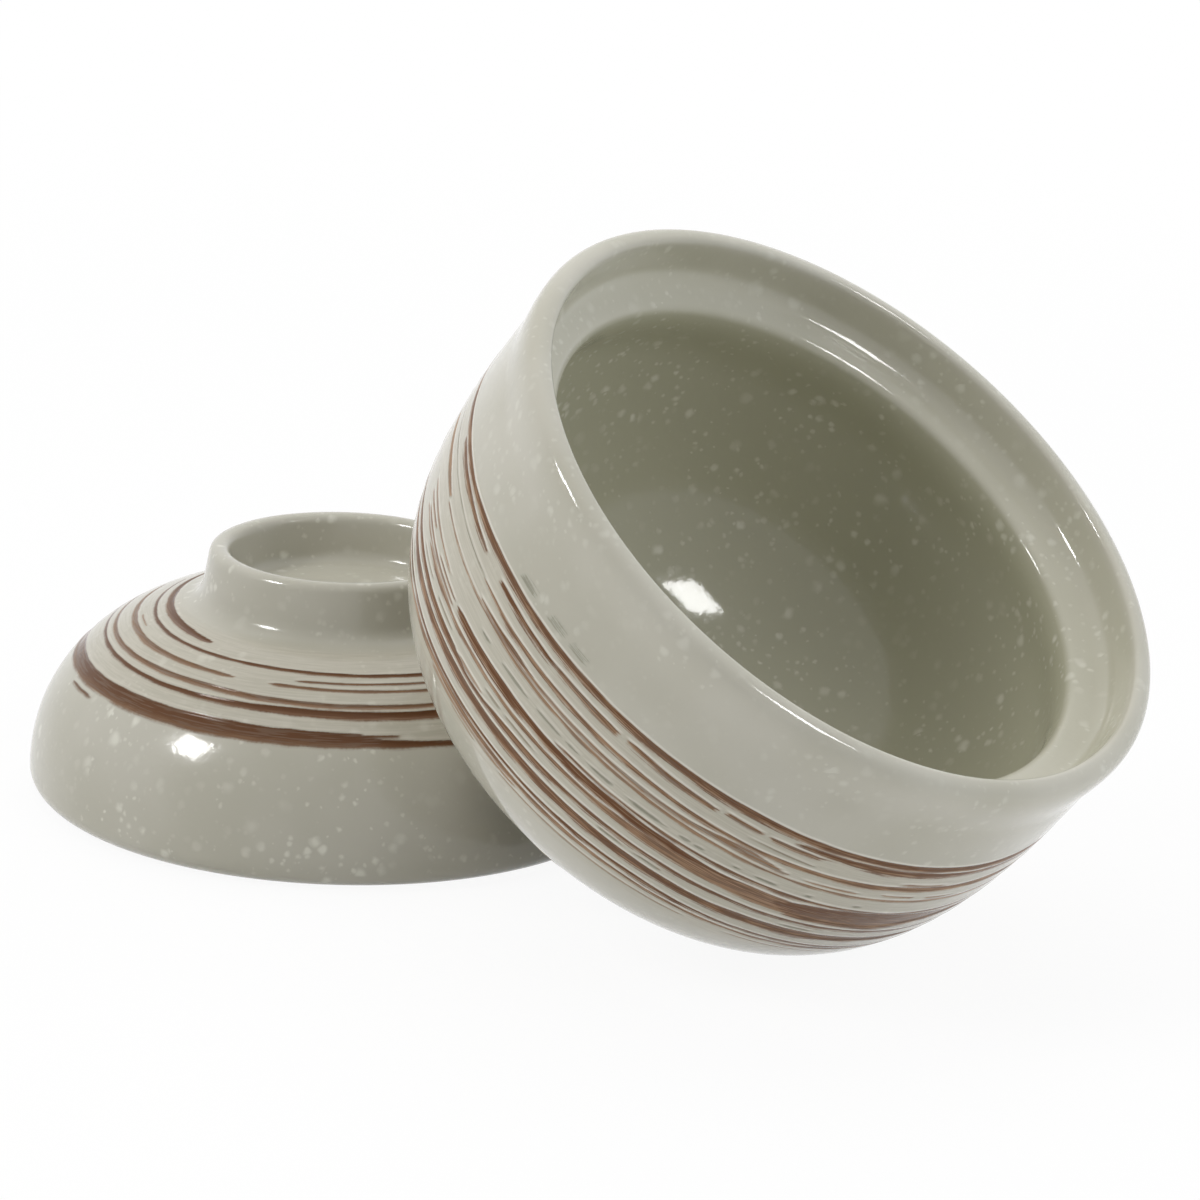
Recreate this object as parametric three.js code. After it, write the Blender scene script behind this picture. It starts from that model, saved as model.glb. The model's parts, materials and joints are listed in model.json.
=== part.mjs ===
// A lidded soup bowl in glazed stoneware: a round-bellied bowl on a foot ring, and a domed lid with
// a ring knob. The lid stands on its rim beside the bowl, and the bowl lies tipped over on its foot
// and its belly. Millimetres, +Z up, table at z = 0, origin below the middle of the pair.
import * as THREE from 'three';

// Bowl sizes
const MOUTH_RADIUS = 70;
const BOWL_HEIGHT = 89.2;
const WALL_RADIUS = 69.1;
const WALL_THICKNESS = 8.2;
const BASE_THICKNESS = 7.5;
const SHOULDER_DEPTH = 9;
const BELLY_SIDE_POWER = 4;
const BELLY_BASE_POWER = 3;
const FLARE_LENGTH = 19;

// Lip and gallery, the ledge inside the mouth that carries the lid
const LIP_THICKNESS = 5.2;
const GALLERY_DEPTH = 7.1;
const GALLERY_CORNER = 2;
const SEAT_WIDTH = 7.3;
const SEAT_DROP = 5;
const SEAT_ROUND = 4;
const THROAT_LENGTH = 14;

// Foot ring
const FOOT_RADIUS = 28;
const FOOT_HEIGHT = 10.2;
const FOOT_WIDTH = 5;
const FOOT_EDGE = 0.8;
const FOOT_FILLET = 3;
const FOOT_RECESS_FILLET = 2;

// Lid
const LID_CLEARANCE = 1.5;
const LID_THICKNESS = 5.5;
const DOME_HEIGHT = 38;
const DOME_SIDE_POWER = 3;
const DOME_TOP_POWER = 2;
const RIM_ROLL_WIDTH = 4.9;
const RIM_ROLL_HEIGHT = 4.5;
const RIM_FLAT_WIDTH = 4;
const RIM_EDGE = 1.2;

// Ring knob
const KNOB_RADIUS = 27.5;
const KNOB_HEIGHT = 9;
const KNOB_WIDTH = 3.9;
const KNOB_TAPER = 1.8;
const KNOB_FILLET = 3;
const KNOB_RECESS_FILLET = 2.5;

// How the pair is set down
const FACING_DEGREES = -35.2;
const SIDE_STEP = -4.7;
const FOOT_TO_LID_GAP = 0.6;

// Fineness of the faceted surfaces
const AROUND = 64;
const WALL_STEPS = 12;
const FLARE_STEPS = 3;
const DOME_STEPS = 9;
const ROLL_STEPS = 4;
const BEND_STEPS = 3;

// Sizes that follow from the ones above
const galleryRadius = MOUTH_RADIUS - LIP_THICKNESS;
const seatRadius = galleryRadius - SEAT_WIDTH;
const seatDepth = GALLERY_DEPTH + SEAT_DROP;
const bellyHeight = BOWL_HEIGHT - SHOULDER_DEPTH - FOOT_HEIGHT;
const shoulderHeight = BOWL_HEIGHT - SHOULDER_DEPTH;
const innerRadius = WALL_RADIUS - WALL_THICKNESS;
const innerHeight = bellyHeight - BASE_THICKNESS;
const lidRadius = galleryRadius - LID_CLEARANCE;
const lidInnerRadius = lidRadius - LID_THICKNESS;
const lidInnerHeight = DOME_HEIGHT - LID_THICKNESS;
const rimRadius = lidRadius - RIM_ROLL_WIDTH;
const domeTop = RIM_ROLL_HEIGHT + DOME_HEIGHT;
const knobTop = domeTop + KNOB_HEIGHT;
const knobBaseRadius = KNOB_RADIUS + KNOB_TAPER;
const knobInnerRadius = KNOB_RADIUS - KNOB_WIDTH;
const knobInnerBaseRadius = knobInnerRadius - KNOB_TAPER;

// A squared-off quarter ellipse: 0 at its side, a quarter turn at its pole. Returns [radius, rise].
function quarterOval(radius, rise, sidePower, polePower, angle) {
  const outward = Math.pow(Math.max(Math.cos(angle), 0), 2 / sidePower);
  const upward = Math.pow(Math.sin(angle), 2 / polePower);
  return [radius * outward, rise * upward];
}

// The angle of a quarter oval at which it has narrowed to a given radius.
function ovalAngleAt(radius, sidePower, narrowed) {
  return Math.acos(Math.pow(narrowed / radius, sidePower / 2));
}

// 1 before start, 0 after start + length, and a smooth half wave between.
function fade(value, start, length) {
  const share = THREE.MathUtils.clamp((value - start) / length, 0, 1);
  return 0.5 + 0.5 * Math.cos(Math.PI * share);
}

// Numbers from first to last in equal steps, both ends included.
function spaced(first, last, steps) {
  return Array.from({ length: steps + 1 }, (_, i) => first + ((last - first) * i) / steps);
}

// An outline through corners given as [radius, height, bend]: a bend rounds its corner by that length.
function outlineThrough(corners) {
  const path = new THREE.Path();
  const at = corners.map(([radius, height]) => new THREE.Vector2(radius, height));
  path.moveTo(at[0].x, at[0].y);
  for (let i = 1; i < at.length - 1; i += 1) {
    const bend = corners[i][2] ?? 0;
    if (bend === 0) {
      path.lineTo(at[i].x, at[i].y);
    } else {
      const before = at[i - 1].clone().sub(at[i]).setLength(bend).add(at[i]);
      const after = at[i + 1].clone().sub(at[i]).setLength(bend).add(at[i]);
      path.lineTo(before.x, before.y);
      path.quadraticCurveTo(at[i].x, at[i].y, after.x, after.y);
    }
  }
  path.lineTo(at.at(-1).x, at.at(-1).y);
  return path.getPoints(BEND_STEPS);
}

// Outer wall of the bowl from the foot up to the lip: a squared-off belly that flares out under the lip.
function bowlWall() {
  const lipDepth = LIP_THICKNESS / 2;
  const flare = MOUTH_RADIUS - WALL_RADIUS;
  const footAngle = ovalAngleAt(WALL_RADIUS, BELLY_SIDE_POWER, FOOT_RADIUS + FOOT_FILLET);
  const belly = spaced(footAngle, 0, WALL_STEPS).map((angle) => {
    const [radius, drop] = quarterOval(WALL_RADIUS, bellyHeight, BELLY_SIDE_POWER, BELLY_BASE_POWER, angle);
    return [radius, SHOULDER_DEPTH + drop];
  });
  const shoulderDepths = spaced(SHOULDER_DEPTH, lipDepth, FLARE_STEPS).slice(1, -1);
  const shoulder = shoulderDepths.map((depth) => [WALL_RADIUS, depth]);
  return [...belly, ...shoulder].map(([radius, depth]) => [
    radius + flare * fade(depth, lipDepth, FLARE_LENGTH),
    BOWL_HEIGHT - depth,
  ]);
}

// Inside of the bowl from the throat under the seat down to the middle of its floor.
function bowlHollow() {
  const throat = innerRadius - seatRadius;
  const throatDepth = seatDepth + SEAT_ROUND;
  const side = spaced(0, Math.PI / 2, WALL_STEPS).slice(0, -1).map((angle) => {
    const [radius, drop] = quarterOval(innerRadius, innerHeight, BELLY_SIDE_POWER, BELLY_BASE_POWER, angle);
    return [radius, SHOULDER_DEPTH + drop];
  });
  const wall = side
    .filter(([, depth]) => depth > throatDepth)
    .map(([radius, depth]) => [
      radius - throat * fade(depth, throatDepth, THROAT_LENGTH),
      BOWL_HEIGHT - depth,
    ]);
  return [...wall, [0, shoulderHeight - innerHeight]];
}

// Height of the belly's underside at the foot's wall.
function bellyHeightAt(radius) {
  const angle = ovalAngleAt(WALL_RADIUS, BELLY_SIDE_POWER, radius);
  const [, drop] = quarterOval(WALL_RADIUS, bellyHeight, BELLY_SIDE_POWER, BELLY_BASE_POWER, angle);
  return shoulderHeight - drop;
}

// Half section of the bowl, from the middle of its underside over the lip to the middle of its floor.
function bowlOutline() {
  const footInnerRadius = FOOT_RADIUS - FOOT_WIDTH;
  return outlineThrough([
    [0, FOOT_HEIGHT],
    [footInnerRadius, FOOT_HEIGHT, FOOT_RECESS_FILLET],
    [footInnerRadius, 0, FOOT_EDGE],
    [FOOT_RADIUS, 0, FOOT_EDGE],
    [FOOT_RADIUS, bellyHeightAt(FOOT_RADIUS), FOOT_FILLET],
    ...bowlWall(),
    [MOUTH_RADIUS, BOWL_HEIGHT, LIP_THICKNESS / 2],
    [galleryRadius, BOWL_HEIGHT, LIP_THICKNESS / 2],
    [galleryRadius, BOWL_HEIGHT - GALLERY_DEPTH, GALLERY_CORNER],
    [seatRadius, BOWL_HEIGHT - seatDepth, SEAT_ROUND],
    ...bowlHollow(),
  ]);
}

// A dome from one radius to another, as [radius, height] points above the rim's roll.
function domePoints(radius, rise, fromRadius, toRadius) {
  const first = ovalAngleAt(radius, DOME_SIDE_POWER, fromRadius);
  const last = ovalAngleAt(radius, DOME_SIDE_POWER, toRadius);
  return spaced(first, last, DOME_STEPS).map((angle) => {
    const [outward, upward] = quarterOval(radius, rise, DOME_SIDE_POWER, DOME_TOP_POWER, angle);
    return [outward, RIM_ROLL_HEIGHT + upward];
  });
}

// Height of the lid's outer dome over a given radius.
function domeHeightAt(radius) {
  const angle = ovalAngleAt(lidRadius, DOME_SIDE_POWER, radius);
  const [, rise] = quarterOval(lidRadius, DOME_HEIGHT, DOME_SIDE_POWER, DOME_TOP_POWER, angle);
  return RIM_ROLL_HEIGHT + rise;
}

// Half section of the lid, from the top of its hollow under the rim and over the knob to its middle.
function lidOutline() {
  const innerDome = domePoints(lidInnerRadius, lidInnerHeight, 0, lidInnerRadius);
  innerDome[0][0] = 0;
  const roll = spaced(0, Math.PI / 2, ROLL_STEPS).slice(0, -1).map((angle) => [
    rimRadius + RIM_ROLL_WIDTH * Math.sin(angle),
    RIM_ROLL_HEIGHT * (1 - Math.cos(angle)),
  ]);
  return outlineThrough([
    ...innerDome,
    [rimRadius - RIM_FLAT_WIDTH, 0, RIM_EDGE],
    ...roll,
    ...domePoints(lidRadius, DOME_HEIGHT, lidRadius, knobBaseRadius + KNOB_FILLET),
    [knobBaseRadius, domeHeightAt(knobBaseRadius), KNOB_FILLET],
    [KNOB_RADIUS, knobTop, KNOB_WIDTH / 2],
    [knobInnerRadius, knobTop, KNOB_WIDTH / 2],
    [knobInnerBaseRadius, domeHeightAt(knobInnerBaseRadius), KNOB_RECESS_FILLET],
    [knobInnerBaseRadius / 2, domeHeightAt(knobInnerBaseRadius / 2)],
    [0, domeTop],
  ]);
}

// A turned piece: its half section spun about the upright axis.
function turned(name, outline, material) {
  const geometry = new THREE.LatheGeometry(outline, AROUND);
  geometry.rotateX(Math.PI / 2);
  const mesh = new THREE.Mesh(geometry, material);
  mesh.name = name;
  return mesh;
}

// How low an outline reaches when its piece is tipped by an angle.
function lowestWhenTipped(outline, tilt) {
  return Math.min(...outline.map((p) => p.y * Math.cos(tilt) - p.x * Math.sin(tilt)));
}

// The tilt at which the foot's edge and the belly reach the table together.
function restingTilt(outline) {
  const foot = outline.filter((p) => p.y < FOOT_HEIGHT / 2);
  const belly = outline.filter((p) => p.y > FOOT_HEIGHT);
  let low = 0;
  let high = Math.PI / 2;
  while (high - low > 1e-9) {
    const middle = (low + high) / 2;
    if (lowestWhenTipped(foot, middle) < lowestWhenTipped(belly, middle)) {
      low = middle;
    } else {
      high = middle;
    }
  }
  return low;
}

// Radius of the lid at a given height, which is the knob's above the dome.
function lidRadiusAt(height) {
  if (height >= domeHeightAt(knobBaseRadius)) {
    return knobBaseRadius;
  }
  const share = Math.max(height - RIM_ROLL_HEIGHT, 0) / DOME_HEIGHT;
  return lidRadius * Math.pow(1 - Math.pow(share, DOME_TOP_POWER), 1 / DOME_SIDE_POWER);
}

const lidGlaze = new THREE.MeshStandardMaterial({ color: 0xb9b7a6, roughness: 0.15, metalness: 0 });
const bowlGlaze = new THREE.MeshStandardMaterial({ color: 0xb4b2a2, roughness: 0.15, metalness: 0 });

const bowlSection = bowlOutline();
const lid = turned('lid', lidOutline(), lidGlaze);
const bowl = turned('bowl', bowlSection, bowlGlaze);

// The bowl is tipped about its foot until its belly touches, and its raised foot edge comes up to the lid.
const tilt = restingTilt(bowlSection);
const lift = -lowestWhenTipped(bowlSection, tilt);
const raisedFootHeight = lift + FOOT_RADIUS * Math.sin(tilt);
const lidReach = Math.sqrt(lidRadiusAt(raisedFootHeight) ** 2 - SIDE_STEP ** 2);
bowl.rotation.y = tilt;
bowl.position.set(lidReach + FOOT_TO_LID_GAP + FOOT_RADIUS * Math.cos(tilt), SIDE_STEP, lift);

const setDown = new THREE.Group();
setDown.rotation.z = THREE.MathUtils.degToRad(FACING_DEGREES);
setDown.add(lid, bowl);

// The pair is centred over the origin, standing on z = 0.
const liddedBowl = new THREE.Group();
liddedBowl.add(setDown);
const middle = new THREE.Box3().setFromObject(liddedBowl, true).getCenter(new THREE.Vector3());
setDown.position.set(-middle.x, -middle.y, 0);

export default liddedBowl;
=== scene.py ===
# %% [markdown]
# # A lidded soup bowl, set down open
#
# The real object is two fired pieces of stoneware: a round-bellied bowl and a domed lid with a ring knob.
# The plain solids come first, as a fixed frame, and everything below dresses them: a camera and a small
# studio, then the two turned skins with their cut and brushed bands, then the glaze.

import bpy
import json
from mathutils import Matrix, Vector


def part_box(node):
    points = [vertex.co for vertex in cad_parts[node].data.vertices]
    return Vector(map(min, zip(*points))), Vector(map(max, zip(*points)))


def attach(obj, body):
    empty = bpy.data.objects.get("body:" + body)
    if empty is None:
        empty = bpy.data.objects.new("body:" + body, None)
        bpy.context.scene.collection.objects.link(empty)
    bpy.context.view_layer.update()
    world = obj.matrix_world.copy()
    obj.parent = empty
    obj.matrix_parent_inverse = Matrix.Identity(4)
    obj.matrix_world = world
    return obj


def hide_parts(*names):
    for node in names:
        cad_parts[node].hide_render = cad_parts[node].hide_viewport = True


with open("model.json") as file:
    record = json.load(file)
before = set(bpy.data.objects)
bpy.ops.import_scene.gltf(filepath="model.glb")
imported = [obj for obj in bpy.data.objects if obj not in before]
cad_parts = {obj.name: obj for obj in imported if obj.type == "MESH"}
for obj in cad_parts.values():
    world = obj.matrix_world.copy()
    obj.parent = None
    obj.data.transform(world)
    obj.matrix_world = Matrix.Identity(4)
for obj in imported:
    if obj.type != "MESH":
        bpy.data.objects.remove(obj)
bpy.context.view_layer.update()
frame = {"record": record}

# %% [markdown]
# ## The camera
#
# A small object is photographed from about a metre away with a long lens, so that its round rims stay calm
# ovals. One could drag a camera until the picture looks right; here its place, tilt and lens are numbers,
# because the rims of the bowl and the lid fix them. The picture is a square, and the camera leans a little.

# %% Stand the camera
import math

import bpy
from mathutils import Matrix, Vector

PICTURE_SIDE = 1200
FOCAL_PIXELS = 4941.3
SENSOR_WIDTH = 36
LOOK_DOWN = math.radians(16.852)
LEAN = math.radians(2.837)
EYE = Vector((0.00473, -0.92635, 0.33506))

scene = bpy.context.scene
scene.view_settings.view_transform = "Standard"
camera = bpy.data.objects.new("camera", bpy.data.cameras.new("camera"))
camera.data.sensor_width = SENSOR_WIDTH
camera.data.lens = SENSOR_WIDTH * FOCAL_PIXELS / PICTURE_SIDE
aim = Matrix.Rotation(math.pi / 2 - LOOK_DOWN, 4, "X") @ Matrix.Rotation(LEAN, 4, "Z")
camera.matrix_world = Matrix.Translation(EYE) @ aim
scene.collection.objects.link(camera)
scene.camera = camera
print("lens", round(camera.data.lens, 1), "mm, looking down", round(math.degrees(LOOK_DOWN), 1), "degrees")

# %% [markdown]
# ## Sums with shader sockets
#
# A finish is a small calculation done at every point of a surface. In the node editor each plus sign is a
# box with two wires; in a script that soon becomes unreadable. The class below wraps one socket, so that a
# plain Python sum adds the Math nodes, and one method adds every other kind of node.

# %% A wire that can be added and multiplied


class Wire:
    """One output of a shader node. A sum, difference, product or quotient of wires adds one Math node."""

    def __init__(self, tree, socket=None):
        self.tree = tree
        self.socket = socket

    def node(self, kind, settings, values, output=0):
        """Adds a node of a kind: its settings first, then its sockets, as plain values or as wires."""
        node = self.tree.nodes.new(kind)
        for name, value in settings.items():
            setattr(node, name, value)
        for key, value in values.items():
            socket = self.find(node.inputs, key)
            if isinstance(value, Wire):
                self.tree.links.new(value.socket, socket)
            else:
                socket.default_value = value
        return Wire(self.tree, self.find(node.outputs, output) if len(node.outputs) else None)

    @staticmethod
    def find(sockets, key):
        """The socket at a place in the list, or with that identifier or name."""
        if isinstance(key, int):
            return sockets[key]
        return next(s for s in sockets if key in (s.identifier, s.name))

    def other(self, output):
        """Another output of the same node."""
        return Wire(self.tree, self.find(self.socket.node.outputs, output))

    def sum(self, operation, *terms):
        return self.node("ShaderNodeMath", {"operation": operation}, dict(enumerate(terms)))

    def __add__(self, other):
        return self.sum("ADD", self, other)

    def __radd__(self, other):
        return self.sum("ADD", other, self)

    def __sub__(self, other):
        return self.sum("SUBTRACT", self, other)

    def __rsub__(self, other):
        return self.sum("SUBTRACT", other, self)

    def __mul__(self, other):
        return self.sum("MULTIPLY", self, other)

    def __rmul__(self, other):
        return self.sum("MULTIPLY", other, self)

    def ramp(self, low, high):
        """0 below low, 1 above high and a smooth rise between, or a fall where low is the larger one."""
        settings = {"interpolation_type": "SMOOTHSTEP"}
        values = {"Value": self, "From Min": low, "From Max": high}
        return self.node("ShaderNodeMapRange", settings, values)

    def blend(self, before, after):
        """A colour that goes from before to after as this wire goes from 0 to 1."""
        values = {"Factor_Float": self, "A_Color": before, "B_Color": after}
        return self.node("ShaderNodeMix", {"data_type": "RGBA"}, values, "Result_Color")


def tint(red, green, blue):
    """A colour as seen on a screen, 0 to 255, as the linear light that a shader works with."""
    share = [v / 255 for v in (red, green, blue)]
    return (*[v / 12.92 if v <= 0.04045 else ((v + 0.055) / 1.055) ** 2.4 for v in share], 1)


def fresh_tree(owner):
    """Turns on the nodes of a material or world, empties them and returns a wire to start sums from."""
    owner.use_nodes = True
    owner.node_tree.nodes.clear()
    return Wire(owner.node_tree)


print("white is", tint(255, 255, 255), "and mid grey is", [round(v, 3) for v in tint(128, 128, 128)])

# %% [markdown]
# ## The studio
#
# Glazed ware is shown in a white tent of light with a softbox on each side: the tent fills every shadow,
# and the boxes leave the two small bright windows that say "gloss". The lamps keep a plain level, at which
# a colour renders about as it is written. The white behind the object is only for the eye of the camera and
# for reflections, so it adds no light. The floor keeps a faint shadow near the object, turns white further
# out and is clear from below, so that the undersides can be looked at.

# %% White tent and floor
TENT_LIGHT = 0.2
FLOOR_HALF = 3.0
FLOOR_COLOUR = tint(246, 246, 245)
# How white the floor looks near the object, and the distances in metres between which it turns all white.
FLOOR_WHITENESS = 0.93
FLOOR_FADE = (0.3, 0.8)


def seen_directly(paint):
    """1 for rays that come from the camera, a mirror or glass, 0 for rays that carry light."""
    path = paint.node("ShaderNodeLightPath", {}, {}, "Is Camera Ray")
    seen = path.sum("MAXIMUM", path, path.other("Is Glossy Ray"))
    return seen.sum("MAXIMUM", seen, path.other("Is Transmission Ray"))


scene.world = bpy.data.worlds.new("tent")
paint = fresh_tree(scene.world)
strength = TENT_LIGHT + (1 - TENT_LIGHT) * seen_directly(paint)
sky = paint.node("ShaderNodeBackground", {}, {"Color": (1, 1, 1, 1), "Strength": strength})
paint.node("ShaderNodeOutputWorld", {}, {"Surface": sky})

floor_mesh = bpy.data.meshes.new("floor")
corners = [(FLOOR_HALF * x, FLOOR_HALF * y, 0) for x, y in ((-1, -1), (1, -1), (1, 1), (-1, 1))]
floor_mesh.from_pydata(corners, [], [(0, 1, 2, 3)])
floor = bpy.data.objects.new("floor", floor_mesh)
scene.collection.objects.link(floor)
floor_mesh.materials.append(bpy.data.materials.new("floor_paper"))
paint = fresh_tree(floor_mesh.materials[0])
paper = paint.node("ShaderNodeBsdfDiffuse", {}, {"Color": FLOOR_COLOUR})
white = paint.node("ShaderNodeEmission", {}, {"Color": (1, 1, 1, 1), "Strength": 1.0})
place = paint.node("ShaderNodeNewGeometry", {}, {}, "Position")
outward = paint.node("ShaderNodeVectorMath", {"operation": "LENGTH"}, {0: place}, "Value").ramp(*FLOOR_FADE)
share = seen_directly(paint) * (FLOOR_WHITENESS + (1 - FLOOR_WHITENESS) * outward)
above = paint.node("ShaderNodeMixShader", {}, {"Fac": share, 1: paper, 2: white})
clear = paint.node("ShaderNodeBsdfTransparent", {}, {})
shown = paint.node("ShaderNodeMixShader", {}, {"Fac": place.other("Backfacing"), 1: above, 2: clear})
paint.node("ShaderNodeOutputMaterial", {}, {"Surface": shown})
print("floor", 2 * FLOOR_HALF, "m across, tent at", TENT_LIGHT)

# %% Soft panels and two bright windows
# Each lamp: degrees sideways from the front, degrees upward, distance, width, height and brightness. The
# panels light the clay, and the windows are only the bright spots that the glaze mirrors.
WINDOWS = {
    "window_left": (-70, 37, 1.15, 0.24, 0.21, 36),
    "window_right": (61, 38, 1.15, 0.28, 0.24, 25),
}
PANELS = {
    "panel_left": (-70, 40, 1.3, 0.5, 0.5, 8),
    "panel_front": (61, 40, 1.3, 0.8, 0.8, 1.6),
    "panel_behind": (-165, 66, 1.5, 1.6, 1.6, 1.85),
    "panel_right": (95, 20, 1.5, 1.2, 1.2, 1.3),
}
MIDDLE = Vector((0, 0, 0.05))
COOL = (0.9, 0.97, 1.08)

for name, (sideways, upward, distance, wide, high, brightness) in {**WINDOWS, **PANELS}.items():
    lamp = bpy.data.lights.new(name, "AREA")
    lamp.shape = "RECTANGLE"
    lamp.size = wide
    lamp.size_y = high
    lamp.energy = brightness * math.pi * wide * high
    lamp.color = COOL if name == "panel_right" else (1, 1, 1)
    around = Matrix.Rotation(math.radians(sideways), 4, "Z")
    turn = around @ Matrix.Rotation(math.radians(90 - upward), 4, "X")
    stand = bpy.data.objects.new(name, lamp)
    stand.matrix_world = Matrix.Translation(MIDDLE) @ turn @ Matrix.Translation((0, 0, distance))
    stand.visible_camera = False
    stand.visible_glossy = name in WINDOWS
    stand.visible_diffuse = name in PANELS
    scene.collection.objects.link(stand)
    print(name, "at", [round(v, 2) for v in stand.matrix_world.translation], round(lamp.energy, 1), "W")

# %% [markdown]
# ## The sizes of the two turned pieces
#
# A potter turns each piece on a wheel, so a half section and an axis say everything about its body. The
# sizes are in millimetres. Most are the ones that the solids were built from, but the bowl's flare, lip,
# gallery, seat and hollow have closer values here than the plainer solid. Where each piece stands is read
# from the frame: the lid's axis is the middle of its box, and the bowl's axis and foot come from its foot
# mount.

# %% Bowl sizes
import numpy as np

MM = 0.001
MOUTH_RADIUS = 70
BOWL_HEIGHT = 89.2
WALL_RADIUS = 69.1
WALL_THICKNESS = 8.2
BASE_THICKNESS = 7.5
SHOULDER_DEPTH = 9
BELLY_SIDE_POWER = 4
BELLY_BASE_POWER = 3
HOLLOW_SIDE_POWER = 3
HOLLOW_BASE_POWER = 2.6
FLARE_LENGTH = 9
LIP_THICKNESS = 4.7
LIP_OUTER_ROUND = 3.4
LIP_INNER_ROUND = 1.3
GALLERY_DEPTH = 9
GALLERY_DRAFT = 0.5
GALLERY_CORNER = 2.8
SEAT_WIDTH = 7.3
SEAT_DROP = 2.2
SEAT_ROUND = 1.8
THROAT_LENGTH = 14
FOOT_RADIUS = 28
FOOT_HEIGHT = 10.2
FOOT_WIDTH = 5
FOOT_EDGE = 0.8
FOOT_FILLET = 3
FOOT_RECESS_FILLET = 2

lip_inner_radius = MOUTH_RADIUS - LIP_THICKNESS
gallery_radius = lip_inner_radius - GALLERY_DRAFT
seat_radius = gallery_radius - SEAT_WIDTH
seat_depth = GALLERY_DEPTH + SEAT_DROP
belly_height = BOWL_HEIGHT - SHOULDER_DEPTH - FOOT_HEIGHT
inner_radius = WALL_RADIUS - WALL_THICKNESS
inner_height = belly_height - BASE_THICKNESS
print("bowl", 2 * MOUTH_RADIUS, "mm across,", BOWL_HEIGHT, "mm high, seat", 2 * seat_radius, "mm across")

# %% Lid sizes
LID_CLEARANCE = 1.5
LID_THICKNESS = 5.5
DOME_HEIGHT = 38
DOME_SIDE_POWER = 3
DOME_TOP_POWER = 2
RIM_ROLL_WIDTH = 4.9
RIM_ROLL_HEIGHT = 4.5
RIM_FLAT_WIDTH = 4
RIM_EDGE = 1.2
KNOB_RADIUS = 27.5
KNOB_HEIGHT = 9
KNOB_WIDTH = 3.9
KNOB_TAPER = 1.8
KNOB_FILLET = 3
KNOB_RECESS_FILLET = 2.5

lid_radius = gallery_radius - LID_CLEARANCE
lid_inner_radius = lid_radius - LID_THICKNESS
lid_inner_height = DOME_HEIGHT - LID_THICKNESS
rim_radius = lid_radius - RIM_ROLL_WIDTH
dome_top = RIM_ROLL_HEIGHT + DOME_HEIGHT
knob_top = dome_top + KNOB_HEIGHT
knob_base_radius = KNOB_RADIUS + KNOB_TAPER
knob_inner_radius = KNOB_RADIUS - KNOB_WIDTH
knob_inner_base_radius = knob_inner_radius - KNOB_TAPER
print("lid", 2 * lid_radius, "mm across,", knob_top, "mm high")

# %% Where the two pieces stand
mounts = {mount["name"]: mount for mount in frame["record"]["mounts"]}
bowl_up = -np.array(mounts["bowl_foot"]["axis"])
bowl_level = np.cross((0, 0, 1), bowl_up)
bowl_level = bowl_level / np.linalg.norm(bowl_level)
bowl_axes = np.stack([np.cross(bowl_level, bowl_up), bowl_level, bowl_up])
foot_middle = (FOOT_RADIUS - FOOT_WIDTH / 2) * MM
bowl_origin = np.array(mounts["bowl_foot"]["pos_m"]) - foot_middle * bowl_level

lid_low, lid_high = (np.array(corner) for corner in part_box("lid"))
lid_axes = np.eye(3)
lid_origin = (lid_low + lid_high) / 2 * (1, 1, 0)
tilt = math.degrees(math.acos(bowl_up[2]))
print("bowl tipped", round(tilt, 2), "degrees, foot at", bowl_origin.round(4))

# %% [markdown]
# ## Half sections
#
# The belly and the dome are squared-off quarter ovals, and the foot, lip, ledge and knob are straight runs
# with rounded corners. A modeller might draw them with a curve object and a Screw modifier. Worked out as
# arrays instead, the rows can lie about a fifth of a millimetre apart where the bands are cut, and further
# apart on the plain clay.

# %% Section helpers
BEND_POINTS = 13
OVAL_POINTS = 401
FINE_POINTS = 12
SAME_POINT = 1e-6


def quarter_oval(radius, rise, side_power, pole_power, angle):
    """Radius times cos(angle) to the power 2/side_power, and rise times sin(angle) to 2/pole_power."""
    outward = np.clip(np.cos(angle), 0, 1) ** (2 / side_power)
    return radius * outward, rise * np.sin(angle) ** (2 / pole_power)


def oval_angle(radius, side_power, narrowed):
    """The angle at which a quarter oval narrows to a radius: arc cosine of the share to side_power/2."""
    return np.arccos((narrowed / radius) ** (side_power / 2))


def fade(value, start, length):
    """1 before start, 0 after start + length, and half a cosine wave between."""
    return 0.5 + 0.5 * np.cos(np.pi * np.clip((value - start) / length, 0, 1))


def rounded(corners):
    """Straight runs between corners (radius, height, bend). Each bend is a quadratic curve that leaves and
    meets its two runs at the bend's length from the corner."""
    at = np.array([corner[:2] for corner in corners], float)
    bend = np.array([corner[2] for corner in corners[1:-1]], float)[:, None, None]
    t = np.linspace(0, 1, BEND_POINTS)[None, :, None]
    middle = at[1:-1, None]
    back = at[:-2, None] - middle
    ahead = at[2:, None] - middle
    back = middle + bend * back / np.linalg.norm(back, axis=-1, keepdims=True)
    ahead = middle + bend * ahead / np.linalg.norm(ahead, axis=-1, keepdims=True)
    curves = (1 - t) ** 2 * back + 2 * t * (1 - t) * middle + t**2 * ahead
    return np.concatenate([at[:1], curves.reshape(-1, 2), at[-1:]])


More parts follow.
